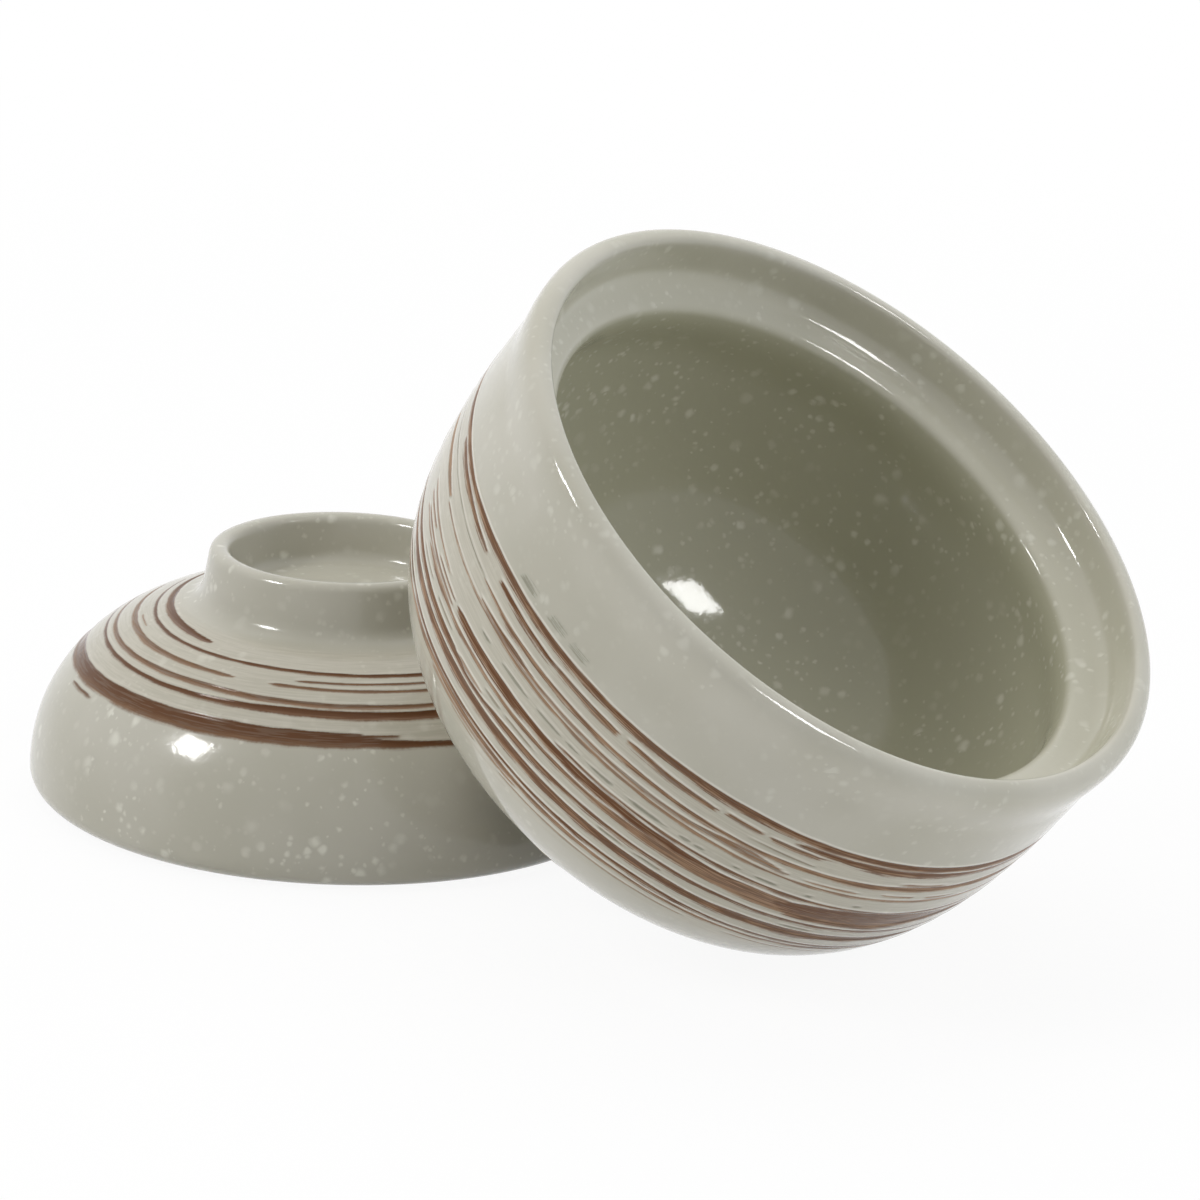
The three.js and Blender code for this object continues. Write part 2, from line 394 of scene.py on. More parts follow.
def spread(outline, spacing):
    """Rows along an outline, one for each step of one in the running sum of length divided by spacing."""
    apart = np.hypot(*np.diff(outline, axis=0).T) > SAME_POINT
    outline = np.concatenate([outline[:1], outline[1:][apart]])
    fine = np.linspace(0, len(outline) - 1, FINE_POINTS * len(outline))
    fine = np.column_stack([np.interp(fine, np.arange(len(outline)), outline[:, k]) for k in (0, 1)])
    length = np.hypot(*np.diff(fine, axis=0).T)
    wanted = spacing(*fine.T)
    count = np.concatenate([[0], np.cumsum(2 * length / (wanted[1:] + wanted[:-1]))])
    rows = np.linspace(0, count[-1], int(count[-1]) + 1)
    return np.column_stack([np.interp(rows, count, fine[:, k]) for k in (0, 1)])


print("ovals of", OVAL_POINTS, "points and bends of", BEND_POINTS)

# %% Half section of the bowl
BAND_ROW = 0.22
EDGE_ROW = 0.6
PLAIN_ROW = 2.2
BAND_LOW = 31.2
BAND_HIGH = 67.6
STRAIGHT_POINTS = 30
LIP_START = 0.2
# The outer wall's rows lie this far outside the hollow's radius, or further in low on the belly.
OUTSIDE_MARGIN = 0.9
LOW_BELLY = 40
LOW_BELLY_INSET = 9
# The foot's rows reach this far above the foot and this far in.
FOOT_ROWS_ABOVE = 3
FOOT_ROWS_INNER = 18


def belly_height_at(radius):
    """Height of the belly at a radius: the shoulder's height less the quarter oval's drop."""
    angle = oval_angle(WALL_RADIUS, BELLY_SIDE_POWER, radius)
    drop = quarter_oval(WALL_RADIUS, belly_height, BELLY_SIDE_POWER, BELLY_BASE_POWER, angle)[1]
    return BOWL_HEIGHT - SHOULDER_DEPTH - drop


def bowl_wall():
    """Outer wall from foot to lip: a squared-off belly, a straight part and a flare under the lip."""
    foot_angle = oval_angle(WALL_RADIUS, BELLY_SIDE_POWER, FOOT_RADIUS + FOOT_FILLET)
    angle = np.linspace(foot_angle, 0, OVAL_POINTS)
    radius, drop = quarter_oval(WALL_RADIUS, belly_height, BELLY_SIDE_POWER, BELLY_BASE_POWER, angle)
    straight = np.linspace(SHOULDER_DEPTH, LIP_OUTER_ROUND + LIP_START, STRAIGHT_POINTS)[1:]
    depth = np.concatenate([SHOULDER_DEPTH + drop, straight])
    radius = np.concatenate([radius, np.full(len(straight), WALL_RADIUS)])
    radius = radius + (MOUTH_RADIUS - WALL_RADIUS) * fade(depth, LIP_OUTER_ROUND, FLARE_LENGTH)
    return np.column_stack([radius, BOWL_HEIGHT - depth])


def bowl_hollow():
    """Inside from the throat under the seat to the floor's middle: a squared-off oval with a throat."""
    throat_depth = seat_depth + SEAT_ROUND
    angle = np.linspace(0, np.pi / 2, OVAL_POINTS)
    radius, drop = quarter_oval(inner_radius, inner_height, HOLLOW_SIDE_POWER, HOLLOW_BASE_POWER, angle)
    depth = SHOULDER_DEPTH + drop
    radius = radius - (inner_radius - seat_radius) * fade(depth, throat_depth, THROAT_LENGTH)
    return np.column_stack([radius, BOWL_HEIGHT - depth])[depth > throat_depth]


def bowl_spacing(radius, height):
    """Close rows in the cut bands of the outer wall, fairly close ones on the lip, ledge and foot."""
    outside = radius > inner_radius + OUTSIDE_MARGIN - LOW_BELLY_INSET * (height < LOW_BELLY)
    band = outside & (height > BAND_LOW) & (height < BAND_HIGH)
    mouth = height > BOWL_HEIGHT - seat_depth - SEAT_ROUND
    foot = (height < FOOT_HEIGHT + FOOT_ROWS_ABOVE) & (radius > FOOT_ROWS_INNER)
    return np.where(band, BAND_ROW, np.where(mouth | foot, EDGE_ROW, PLAIN_ROW))


def bowl_outline():
    """Underside, foot ring, outer wall, lip, gallery and hollow, in that order."""
    wall = bowl_wall()
    hollow = bowl_hollow()
    foot_inner = FOOT_RADIUS - FOOT_WIDTH
    foot = rounded([
        (0, FOOT_HEIGHT, 0),
        (foot_inner, FOOT_HEIGHT, FOOT_RECESS_FILLET),
        (foot_inner, 0, FOOT_EDGE),
        (FOOT_RADIUS, 0, FOOT_EDGE),
        (FOOT_RADIUS, belly_height_at(FOOT_RADIUS), FOOT_FILLET),
        (*wall[0], 0),
    ])
    lip = rounded([
        (*wall[-1], 0),
        (MOUTH_RADIUS, BOWL_HEIGHT, LIP_OUTER_ROUND),
        (lip_inner_radius, BOWL_HEIGHT, LIP_INNER_ROUND),
        (gallery_radius, BOWL_HEIGHT - GALLERY_DEPTH, GALLERY_CORNER),
        (seat_radius, BOWL_HEIGHT - seat_depth, SEAT_ROUND),
        (*hollow[0], 0),
    ])
    return np.concatenate([foot, wall[1:-1], lip, hollow[1:]])


bowl_rows = spread(bowl_outline(), bowl_spacing)
print("bowl section", len(bowl_rows), "rows, height", bowl_rows[:, 1].min(), "to", bowl_rows[:, 1].max())

# %% Half section of the lid
LID_BAND_INNER = 32.5
LID_BAND_OUTER = 57
ROLL_POINTS = 40
# The dome's own rows lie at most this far under its surface, and the rim's and knob's rows end here.
DOME_MARGIN = 2
RIM_ROWS_HIGH = 7
KNOB_ROWS_INNER = 20


def dome(radius, rise, from_radius, to_radius):
    """A squared-off dome between two radii, above the rim's roll."""
    ends = oval_angle(radius, DOME_SIDE_POWER, np.array([from_radius, to_radius], float))
    angle = np.linspace(*ends, OVAL_POINTS)
    outward, upward = quarter_oval(radius, rise, DOME_SIDE_POWER, DOME_TOP_POWER, angle)
    return np.column_stack([outward, RIM_ROLL_HEIGHT + upward])


def dome_height_at(radius):
    """Height of the dome at a radius: the rim's roll and the quarter oval's rise."""
    angle = oval_angle(lid_radius, DOME_SIDE_POWER, radius)
    rise = quarter_oval(lid_radius, DOME_HEIGHT, DOME_SIDE_POWER, DOME_TOP_POWER, angle)[1]
    return RIM_ROLL_HEIGHT + rise


def lid_spacing(radius, height):
    """Close rows in the bands on the dome, fairly close ones on the rim and the knob."""
    outside = height > dome_height_at(np.minimum(radius, lid_radius)) - DOME_MARGIN
    band = outside & (radius > LID_BAND_INNER) & (radius < LID_BAND_OUTER)
    knob = outside & (radius > KNOB_ROWS_INNER) & (radius <= LID_BAND_INNER)
    return np.where(band, BAND_ROW, np.where((height < RIM_ROWS_HIGH) | knob, EDGE_ROW, PLAIN_ROW))


def lid_outline():
    """Hollow, rim, dome and ring knob, in that order: the rim's outside is a quarter ellipse."""
    inner = dome(lid_inner_radius, lid_inner_height, 0, lid_inner_radius)
    outer = dome(lid_radius, DOME_HEIGHT, lid_radius, knob_base_radius + KNOB_FILLET)
    angle = np.linspace(0, np.pi / 2, ROLL_POINTS)
    roll_radius = rim_radius + RIM_ROLL_WIDTH * np.sin(angle)
    roll = np.column_stack([roll_radius, RIM_ROLL_HEIGHT * (1 - np.cos(angle))])
    rim = rounded([(*inner[-1], 0), (rim_radius - RIM_FLAT_WIDTH, 0, RIM_EDGE), (*roll[0], 0)])
    knob = rounded([
        (*outer[-1], 0),
        (knob_base_radius, dome_height_at(knob_base_radius), KNOB_FILLET),
        (KNOB_RADIUS, knob_top, KNOB_WIDTH / 2),
        (knob_inner_radius, knob_top, KNOB_WIDTH / 2),
        (knob_inner_base_radius, dome_height_at(knob_inner_base_radius), KNOB_RECESS_FILLET),
        (knob_inner_base_radius / 2, dome_height_at(knob_inner_base_radius / 2), KNOB_RECESS_FILLET),
        (0, dome_top, 0),
    ])
    return np.concatenate([inner[:-1], rim, roll[1:], outer[1:-1], knob])


lid_rows = spread(lid_outline(), lid_spacing)
print("lid section", len(lid_rows), "rows, height", lid_rows[:, 1].min(), "to", lid_rows[:, 1].max())

# %% [markdown]
# ## Cut and brushed bands
#
# On the real ware the bands were cut into the soft clay while the piece turned, and brushed with iron
# brown that stayed in the cuts. Some strokes run all the way round, some lift off early and some skip into
# dashes. One could paint this as an image. Here every stroke is a short list of places that it passes
# through: its angle around the axis, its height and its width. The same strokes cut the skin and colour it,
# so the brown always starts in a groove.

# %% Strokes on the bowl
# Each stroke: depth of brown from 0 to 1, dryness of the brush from 0 to 1, then (degrees, height, width).
# Degrees count around the bowl's axis from the side that lies lowest on the table.
BOWL_STROKES = [
    (0.90, 0.1, (-145, 65.4, 1.1), (-125, 65.3, 0.9), (-112, 65.6, 1.3), (-80, 65.6, 1.2),
     (-55, 66.0, 1.3), (-30, 66.1, 1.4), (0, 66.2, 1.3), (60, 65.8, 1.2), (140, 65.9, 1.0),
     (215, 65.4, 1.1)),
    (0.90, 0.2, (-137, 63.9, 0.7), (-125, 63.4, 1.0), (-113, 63.0, 0.5)),
    (1.00, 0.0, (-107.5, 63.1, 0.7), (-100, 62.9, 0.6), (-91, 62.6, 0.4)),
    (0.75, 0.3, (-91.5, 62.7, 0.6), (-84, 62.6, 0.9), (-76, 62.5, 1.0)),
    (0.75, 0.3, (-75.5, 62.9, 0.7), (-66, 62.5, 1.0), (-57.5, 62.4, 0.8)),
    (0.70, 0.3, (-57, 63.2, 0.5), (-50, 62.9, 0.8)),
    (0.70, 0.2, (-49, 62.9, 0.7), (-39.5, 62.9, 0.5)),
    (0.90, 0.1, (-44.5, 64.5, 0.5), (-40, 64.4, 0.8), (-34, 64.3, 1.2), (-27, 64.2, 1.4),
     (-20, 64.4, 1.0), (-12, 64.5, 0.7), (12, 64.4, 0.5)),
    (0.80, 0.2, (28, 63.0, 0.6), (50, 62.8, 1.0), (76, 62.9, 0.7)),
    (0.80, 0.3, (81, 63.1, 0.6), (110, 62.9, 1.0), (131, 62.9, 0.6)),
    (0.85, 0.1, (150, 62.7, 0.8), (180, 63.0, 0.9), (204, 63.3, 0.5)),
    (0.12, 0.0, (-150, 60.8, 0.5), (-128, 60.2, 0.4), (-104, 59.5, 0.35)),
    (0.55, 0.1, (-110, 59.5, 0.3), (-100, 59.1, 0.6), (-80, 59.0, 0.8), (-58, 58.7, 0.7),
     (-48, 58.7, 0.7), (-38, 59.0, 0.9), (-30, 59.2, 1.2), (-20, 59.6, 1.4), (0, 60.1, 1.5),
     (60, 59.6, 1.2), (140, 60.0, 0.8), (205, 60.5, 0.5)),
    (0.15, 0.2, (-52, 60.6, 0.4), (-39, 60.5, 0.35)),
    (0.45, 0.1, (-23, 60.9, 0.5), (-13, 60.9, 0.4)),
    (0.32, 0.2, (-150, 57.4, 1.2), (-136, 57.4, 1.4), (-128, 56.9, 0.8)),
    (0.35, 0.2, (-129, 56.2, 0.35), (-105, 55.7, 0.35), (-98, 55.4, 0.6), (-60, 55.2, 0.7),
     (-42, 55.2, 0.5), (-10, 55.8, 0.6), (60, 56.4, 1.0), (150, 56.8, 1.4), (205, 57.0, 1.0)),
    (0.80, 0.2, (-109, 56.6, 0.3), (-102, 56.5, 0.8), (-98, 56.6, 1.1), (-95, 56.7, 0.7),
     (-92, 56.6, 0.4)),
    (0.55, 0.5, (-95, 56.4, 0.6), (-85, 56.4, 0.7), (-70, 56.4, 0.8), (-60, 56.6, 0.8),
     (-54, 57.2, 1.2), (-50, 57.2, 1.9), (-46, 56.8, 1.2), (-42, 56.2, 0.6)),
    (0.30, 0.7, (-39, 56.3, 0.5), (-29, 56.5, 0.7)),
    (0.35, 0.1, (-25, 57.0, 0.45), (-18, 57.0, 0.4)),
    (0.30, 0.2, (-16, 56.8, 0.5), (-9, 56.8, 0.4)),
    (0.35, 0.3, (-138, 52.1, 0.5), (-117, 51.1, 0.5)),
    (1.00, 0.0, (-112, 49.5, 0.5), (-109, 49.3, 1.4), (-95, 49.3, 1.7), (-85, 49.1, 1.4),
     (-70, 49.2, 1.7), (-60, 49.1, 1.6), (-52, 49.0, 1.2), (-46, 48.9, 0.6)),
    (0.95, 0.1, (-40, 47.4, 1.6), (-36, 47.6, 4.4), (-28, 48.1, 5.6), (-20, 48.2, 5.6),
     (-15, 48.4, 5.0), (-10, 48.8, 3.4), (0, 48.9, 1.4), (40, 48.9, 2.2), (100, 49.2, 2.0),
     (150, 49.6, 1.2), (175, 49.8, 0.6)),
    (0.70, 0.1, (-83, 50.7, 0.4), (-60, 51.0, 0.4), (-40, 51.2, 0.5), (-20, 51.2, 0.5),
     (10, 51.6, 0.6)),
    (0.50, 0.1, (-127, 47.0, 0.6), (-100, 46.9, 0.6), (-85, 46.8, 0.7), (-75, 46.8, 0.9),
     (-66, 47.0, 1.6), (-58, 47.3, 2.4), (-52, 47.8, 3.4), (-45, 47.9, 3.7), (-38, 47.7, 4.0),
     (-33, 47.6, 3.0)),
    (0.50, 0.2, (-137, 50.1, 0.6), (-127, 50.3, 0.6)),
    (0.50, 0.2, (-134, 48.9, 0.5), (-112, 48.2, 0.5)),
    (0.45, 0.2, (-122, 49.6, 0.4), (-113, 49.5, 0.4)),
    (0.45, 0.2, (-136, 47.9, 0.4), (-112, 47.4, 0.4)),
    (0.60, 0.3, (20, 46.4, 0.8), (70, 46.8, 1.0), (120, 46.9, 0.6)),
    (0.55, 0.2, (140, 47.8, 0.5), (210, 48.4, 0.6)),
    (0.90, 0.1, (-145, 43.8, 1.2), (-125, 43.3, 1.0), (-108, 42.9, 1.3), (-103, 42.3, 0.6),
     (-98, 42.4, 0.5), (-95, 42.9, 0.7), (-90, 43.1, 1.0), (-75, 43.6, 0.7), (-58, 43.8, 0.5),
     (-38, 44.0, 0.4), (0, 44.1, 0.6), (80, 43.6, 1.0), (150, 43.5, 1.5), (215, 43.8, 1.2)),
    (0.55, 0.1, (-106, 43.5, 0.4), (-98, 43.4, 0.35)),
    (0.90, 0.1, (-145, 40.8, 1.2), (-125, 40.5, 1.6), (-100, 40.3, 1.7), (-75, 40.2, 1.8),
     (-58, 40.1, 1.6), (-48, 40.0, 1.5), (-42, 40.2, 2.0), (-15, 40.3, 2.0), (0, 40.4, 1.3),
     (60, 40.2, 2.0), (150, 40.3, 2.2), (215, 40.8, 1.4)),
    (0.90, 0.0, (-138, 37.0, 0.5), (-110, 36.2, 0.6), (-80, 36.4, 0.5), (-60, 36.7, 0.7),
     (-48, 36.4, 0.4), (-10, 36.2, 0.4), (60, 36.4, 0.8), (150, 36.6, 0.8), (222, 37.0, 0.6)),
    (0.50, 0.1, (-135, 34.9, 0.6), (-118, 34.8, 0.9), (-105, 34.8, 1.3), (-90, 34.8, 1.0),
     (-60, 34.7, 0.7), (-35, 34.8, 0.6), (-5, 35.0, 0.8), (100, 34.5, 1.0), (225, 34.9, 0.8)),
    (0.26, 0.5, (-112, 33.5, 0.8), (-84, 33.5, 0.6)),
    (0.20, 0.3, (-104, 32.7, 0.4), (-95, 32.6, 0.4)),
    (0.20, 0.3, (-89, 32.5, 0.4), (-62, 32.6, 0.5), (-48, 32.8, 0.5)),
    (0.20, 0.3, (-41, 32.9, 0.4), (-15, 33.0, 0.4)),
    (0.20, 0.3, (30, 32.6, 0.5), (95, 32.5, 0.4)),
]
# Dashes where the tool only skipped along the clay, grey with painted shadow: height, width and depth of
# brown, then (from, to) in degrees.
BOWL_DASHES = [
    (52.5, 0.65, 0.10, (-106.5, -105.4), (-104.3, -101.8), (-98, -91.5), (-89, -83.5), (-82, -79.8),
     (-77.5, -72), (-69.5, -62.5), (-59.5, -58.3), (-57.3, -55), (-50, -48.9), (-46.5, -42),
     (-36.5, -35.3), (-27.5, -26), (18, 26), (40, 52), (58, 63), (90, 104), (118, 122), (160, 171)),
    (44.9, 0.5, 0.15, (-129, -120), (-117, -110), (-98, -94), (-93, -85), (60, 68), (96, 118)),
    (42.0, 0.6, 0.12, (-70, -65), (-63, -58), (-35, -29), (30, 42)),
    (67.9, 0.3, 0.10, (-105, -101), (-97, -93), (-91, -87), (70, 76), (84, 90)),
]
dash_count = sum(len(dashes) for height, width, tone, *dashes in BOWL_DASHES)
print(len(BOWL_STROKES), "strokes and", dash_count, "dashes on the bowl")

# %% Strokes on the lid
# The same, with the radius on the dome in place of the height. Degrees count around the lid's axis from +X.
LID_STROKES = [
    (1.00, 0.1, (-190, 53.6, 2.4), (-150, 53.6, 2.6), (-120, 53.7, 2.6), (-95, 53.8, 2.5),
     (-83, 53.8, 2.2), (-78, 54.3, 1.2), (-62, 54.8, 0.8), (0, 54.2, 2.0), (90, 53.7, 2.4),
     (170, 53.6, 2.4)),
    (0.70, 0.1, (-162, 55.9, 0.4), (-150, 55.9, 0.4)),
    (0.80, 0.1, (-82, 53.2, 0.5), (-74, 53.3, 0.4)),
    (0.60, 0.2, (-190, 45.9, 0.8), (-165, 46.6, 0.9), (-120, 47.2, 1.2), (-108, 47.6, 1.3),
     (-90, 48.0, 1.1), (-65, 48.2, 1.0), (0, 47.0, 1.0), (90, 46.2, 0.8), (170, 45.9, 0.8)),
    (0.95, 0.0, (-190, 48.0, 0.5), (-160, 48.6, 0.6), (-135, 49.2, 0.8), (-118, 49.4, 1.0),
     (-100, 49.5, 1.5), (-65, 49.9, 1.6), (-20, 49.3, 1.0), (90, 48.6, 0.6), (170, 48.0, 0.5)),
    (0.55, 0.2, (-205, 41.4, 0.8), (-180, 42.2, 1.2), (-150, 43.4, 1.3), (-125, 43.9, 1.0),
     (-115.5, 44.1, 0.9)),
    (0.30, 0.2, (-172, 40.9, 0.4), (-160, 41.2, 0.4)),
    (0.85, 0.0, (-205, 36.8, 0.5), (-160, 38.9, 0.7), (-140, 39.6, 0.8), (-120, 40.0, 0.8),
     (-100, 40.3, 0.9), (-65, 41.0, 1.0), (0, 40.2, 0.8), (60, 38.8, 0.7), (96, 38.2, 0.5)),
    (0.85, 0.0, (-212, 34.6, 0.8), (-185, 34.9, 1.6), (-165, 35.6, 1.7), (-145, 36.3, 1.7),
     (-135, 36.9, 1.4), (-131, 37.0, 1.2)),
    (0.65, 0.1, (-99, 42.8, 0.6), (-63, 43.1, 0.6), (-20, 42.6, 0.5)),
    (0.60, 0.1, (-105.5, 44.2, 0.8), (-63, 45.0, 0.7), (0, 44.4, 0.6)),
    (0.60, 0.2, (18, 42.2, 0.8), (60, 42.6, 1.2), (122, 42.4, 0.9)),
    (0.85, 0.1, (62, 35.4, 0.8), (90, 36.0, 1.6), (128, 36.6, 1.0)),
    (0.70, 0.1, (20, 56.1, 0.4), (34, 56.1, 0.4)),
]
print(len(LID_STROKES), "strokes on the lid")

# %% From strokes to fields on the skin
COLUMNS = 270
ANGLE = np.linspace(-np.pi, np.pi, COLUMNS, endpoint=False)
# How a stroke wavers: the waves in one wander, the span of their turns, the turns at which a wave has its
# full height, and what their sum is divided by.
WAVE_COUNT = 9
WAVE_TURNS = (5, 60)
FULL_WAVE_TURNS = 8
WAVE_SHARE = 4
WANDER_HEIGHT = 0.06
WANDER_WIDTH = 0.11
# How it ends: the length of a round end, and its largest share of a short stroke. A stroke of nearly a full
# turn has no ends.
END_TAPER = 2.2
END_SHARE = 0.15
FULL_TURN = 359
END_SOFT = 0.1
DASH_DRYNESS = 0.3
# The cut: its depth, and the widths of its two walls. A narrow stroke cuts this share of it and more.
CUT_DEPTH = 0.2
UPPER_WALL = 0.4
LOWER_WALL = 0.8
NARROW_CUT = 0.55
# The brown: its upper edge, the start, softness and unevenness of the wash, and how it thins downwards.
UPPER_EDGE = 0.3
WASH_START = 0.4
WASH_SOFT = 0.15
WASH_UNEVEN = 0.5
THINNING = 0.5
THINNING_ROOM = 0.4
# The raised ridge above the cut, on which a highlight is painted: height, place and width, and how much of
# it a pale stroke keeps.
RIDGE = 0.1
RIDGE_PLACE = 0.38
RIDGE_WIDTH = 0.22
RIDGE_LEAST = 0.4


def wander(seed):
    """An uneven closed wave around the axis: cosines with chance turns and phases, summed to about 1."""
    chance = np.random.default_rng(seed)
    turns = chance.integers(*WAVE_TURNS, WAVE_COUNT)[:, None]
    phase = chance.uniform(0, 2 * np.pi, WAVE_COUNT)[:, None]
    return (np.cos(turns * ANGLE + phase) / np.sqrt(turns / FULL_WAVE_TURNS)).sum(axis=0) / WAVE_SHARE


def smooth(value, width):
    """0 at or below 0, 1 at or above width, and 3 t squared minus 2 t cubed between."""
    t = np.clip(value / width, 0, 1)
    return t * t * (3 - 2 * t)


def stroke_course(places, seed, girth):
    """Middle and half width of a stroke at every angle, with the half width below 0 where it doesn't run.
    Both go straight from place to place, waver a little, and the width closes to a round end."""
    degrees, middle, width = np.array(places, float).T
    here = (np.degrees(ANGLE) - degrees[0]) % 360 + degrees[0]
    middle = np.interp(here, degrees, middle) + WANDER_HEIGHT * wander(seed)
    half = np.interp(here, degrees, width) / 2 * (1 + WANDER_WIDTH * wander(seed + 1))
    span = degrees[-1] - degrees[0]
    if span < FULL_TURN:
        to_end = np.minimum(here - degrees[0], degrees[-1] - here) * np.radians(girth)
        taper = min(END_TAPER, END_SHARE * span * np.radians(girth))
        half = np.where(to_end > 0, half * np.sqrt(np.clip(to_end / taper, 0, 1)), -1.0)
    return middle, half


def dash_strokes(rows):
    """Every dash as a stroke of two places, a little dry."""
    return [
        (tone, DASH_DRYNESS, (start, height, width), (end, height, width))
        for height, width, tone, *dashes in rows
        for start, end in dashes
    ]


def brush(strokes, place, uphill, girth, wash, lip):
    """Fields over rows and columns from the strokes that pass: how much brown covers a point, how dark it
    is, the raised ridge above a stroke, where the glaze paints a highlight, the brush's dryness, and the
    cut's relief. place is each row's height or radius, and uphill is the sign of the way to the stroke's
    upper edge. Across a stroke the brown starts sharply at that edge, thins towards the lower one and runs
    out below it in a wash about as many millimetres long as wash says. The cut drops over a short upper
    wall and rises over a longer one. lip is how far the ridge and its painted highlight show."""
    cover = np.zeros((len(place), COLUMNS))
    dark = np.zeros_like(cover)
    dryness = np.zeros_like(cover)
    ridge = np.zeros_like(cover)
    cut = np.zeros_like(cover)
    for seed, (tone, dry, *places) in enumerate(strokes):
        middle, half = stroke_course(places, 10 * seed, girth)
        offset = uphill * (place[:, None] - middle)
        runs = smooth(half, END_SOFT)
        top = smooth(half - offset + UPPER_EDGE / 2, UPPER_EDGE)
        reach = wash * tone * (1 + WASH_UNEVEN * wander(10 * seed + 2))
        low = smooth(WASH_START - half - offset, WASH_START + WASH_SOFT + np.maximum(reach, 0))
        covers = runs * top * (1 - low)
        nearer = covers > cover
        cover = np.where(nearer, covers, cover)
        fall = smooth(half - offset, 2 * np.maximum(half, THINNING_ROOM) + THINNING_ROOM)
        dark = np.where(nearer, tone * (1 - THINNING * fall), dark)
        dryness = np.where(nearer, dry, dryness)
        lifted = np.exp(-(((offset - half - RIDGE_PLACE) / RIDGE_WIDTH) ** 2))
        ridge = np.maximum(ridge, runs * lifted * min(1, RIDGE_LEAST + tone))
        wall = smooth(half - offset, UPPER_WALL) * smooth(half + offset, LOWER_WALL)
        cut = np.maximum(cut, runs * wall * np.minimum(1, NARROW_CUT + half))
    ridge = lip * ridge * (1 - cover**3)
    return cover, dark, ridge, dryness, RIDGE * ridge - CUT_DEPTH * cut


print("columns", 360 / COLUMNS, "degrees apart")

# %% [markdown]
# ## The two skins
#
# Spinning the half section about its axis gives the skin, and the strokes then push it in along its own
# normal. A Displace modifier could do that too, but it would need an image or a texture of the strokes.
# Each skin is one closed surface: the first and last rows end in a single point on the axis and the last
# column joins the first. Three attributes go with it for the glaze: the place on the wheel in millimetres,
# the brush fields and the zones of the finish.

# %% Turned skins with relief
# The skins are drawn in by this much, in millimetres, so that no raised ridge leaves the solids' box.
SHY = 0.1


def turned_skin(name, radius, height, axes, origin, brush_fields, zones):
    """A closed skin of revolution. Point (row, column) is radius times cosine and sine of the column's
    angle, and height, carried into the room by the piece's own axes and origin."""
    rows = len(radius)
    ring = np.stack([radius * np.cos(ANGLE), radius * np.sin(ANGLE), height], axis=-1).reshape(-1, 3)
    poles = [[0, 0, height[0].mean()], [0, 0, height[-1].mean()]]
    wheel = np.concatenate([ring, poles])
    corner = np.arange(rows * COLUMNS).reshape(rows, COLUMNS)
    beside = np.roll(corner, -1, axis=1)
    first, last = rows * COLUMNS, rows * COLUMNS + 1
    quads = np.stack([corner[:-1], beside[:-1], beside[1:], corner[1:]], axis=-1).reshape(-1, 4)
    fans = [np.column_stack([np.full(COLUMNS, first), beside[0], corner[0]]),
            np.column_stack([corner[-1], beside[-1], np.full(COLUMNS, last)])]
    mesh = bpy.data.meshes.new(name)
    mesh.from_pydata(origin + MM * wheel @ axes, [], quads.tolist() + fans[0].tolist() + fans[1].tolist())
    mesh.polygons.foreach_set("use_smooth", np.ones(len(mesh.polygons), bool))
    mesh.attributes.new("wheel", "FLOAT_VECTOR", "POINT").data.foreach_set("vector", wheel.ravel())
    for label, fields in (("brush", brush_fields), ("zone", zones)):
        grid = np.stack(np.broadcast_arrays(*fields), axis=-1).reshape(-1, 4)
        grid = np.concatenate([grid, grid[:1], grid[-1:]])
        attribute = mesh.attributes.new(label, "FLOAT_COLOR", "POINT")
        attribute.data.foreach_set("color", grid.astype(np.float32).ravel())
    mesh.validate()
    piece = bpy.data.objects.new(name, mesh)
    scene.collection.objects.link(piece)
    return piece


def section_normals(rows):
    """Unit normals of an outline, pointing out of the clay: its direction turned a quarter turn."""
    along = np.gradient(rows, axis=0)
    normal = np.column_stack([along[:, 1], -along[:, 0]])
    return normal / np.linalg.norm(normal, axis=1, keepdims=True)


def pressed(rows, relief):
    """Radius and height of every point once the section is pushed along its normals by the relief."""
    normal = section_normals(rows)
    out = relief - SHY
    return rows[:, :1] + normal[:, :1] * out, rows[:, 1:] + normal[:, 1:] * out


print("skins are drawn in by", SHY, "mm")

# %% The bowl's skin
# Bare clay reaches this high on the foot and this far inside its ring, in millimetres.
BARE_FOOT = 0.45
BARE_INSIDE = 1
# The cream starts below the band, ends below the band's upper edge, and is soft at both ends.
CREAM_BELOW = 1
CREAM_SOFT = 1.2
CREAM_STOP = 0.8
CREAM_STOP_SOFT = 0.5
# Painted shade darkens the inside: a share of it from just under the lip, and the rest from the seat down.
GALLERY_SHADE = 0.45
SHADE_START = 1
SHADE_SOFT = 2
SHADE_EDGE = 2.5
# How long the wash below a dark stroke runs, and how far the raised ridge above it shows, with its
# painted highlight.
BOWL_WASH = 1.3
BOWL_LIP = 0.8
# The strokes' heights above were read this much too high, and this brings them all down.
READ_HIGH = 0.18
# A height that no stroke comes near, for the rows that aren't on the outer wall.
OFF_WALL = -99

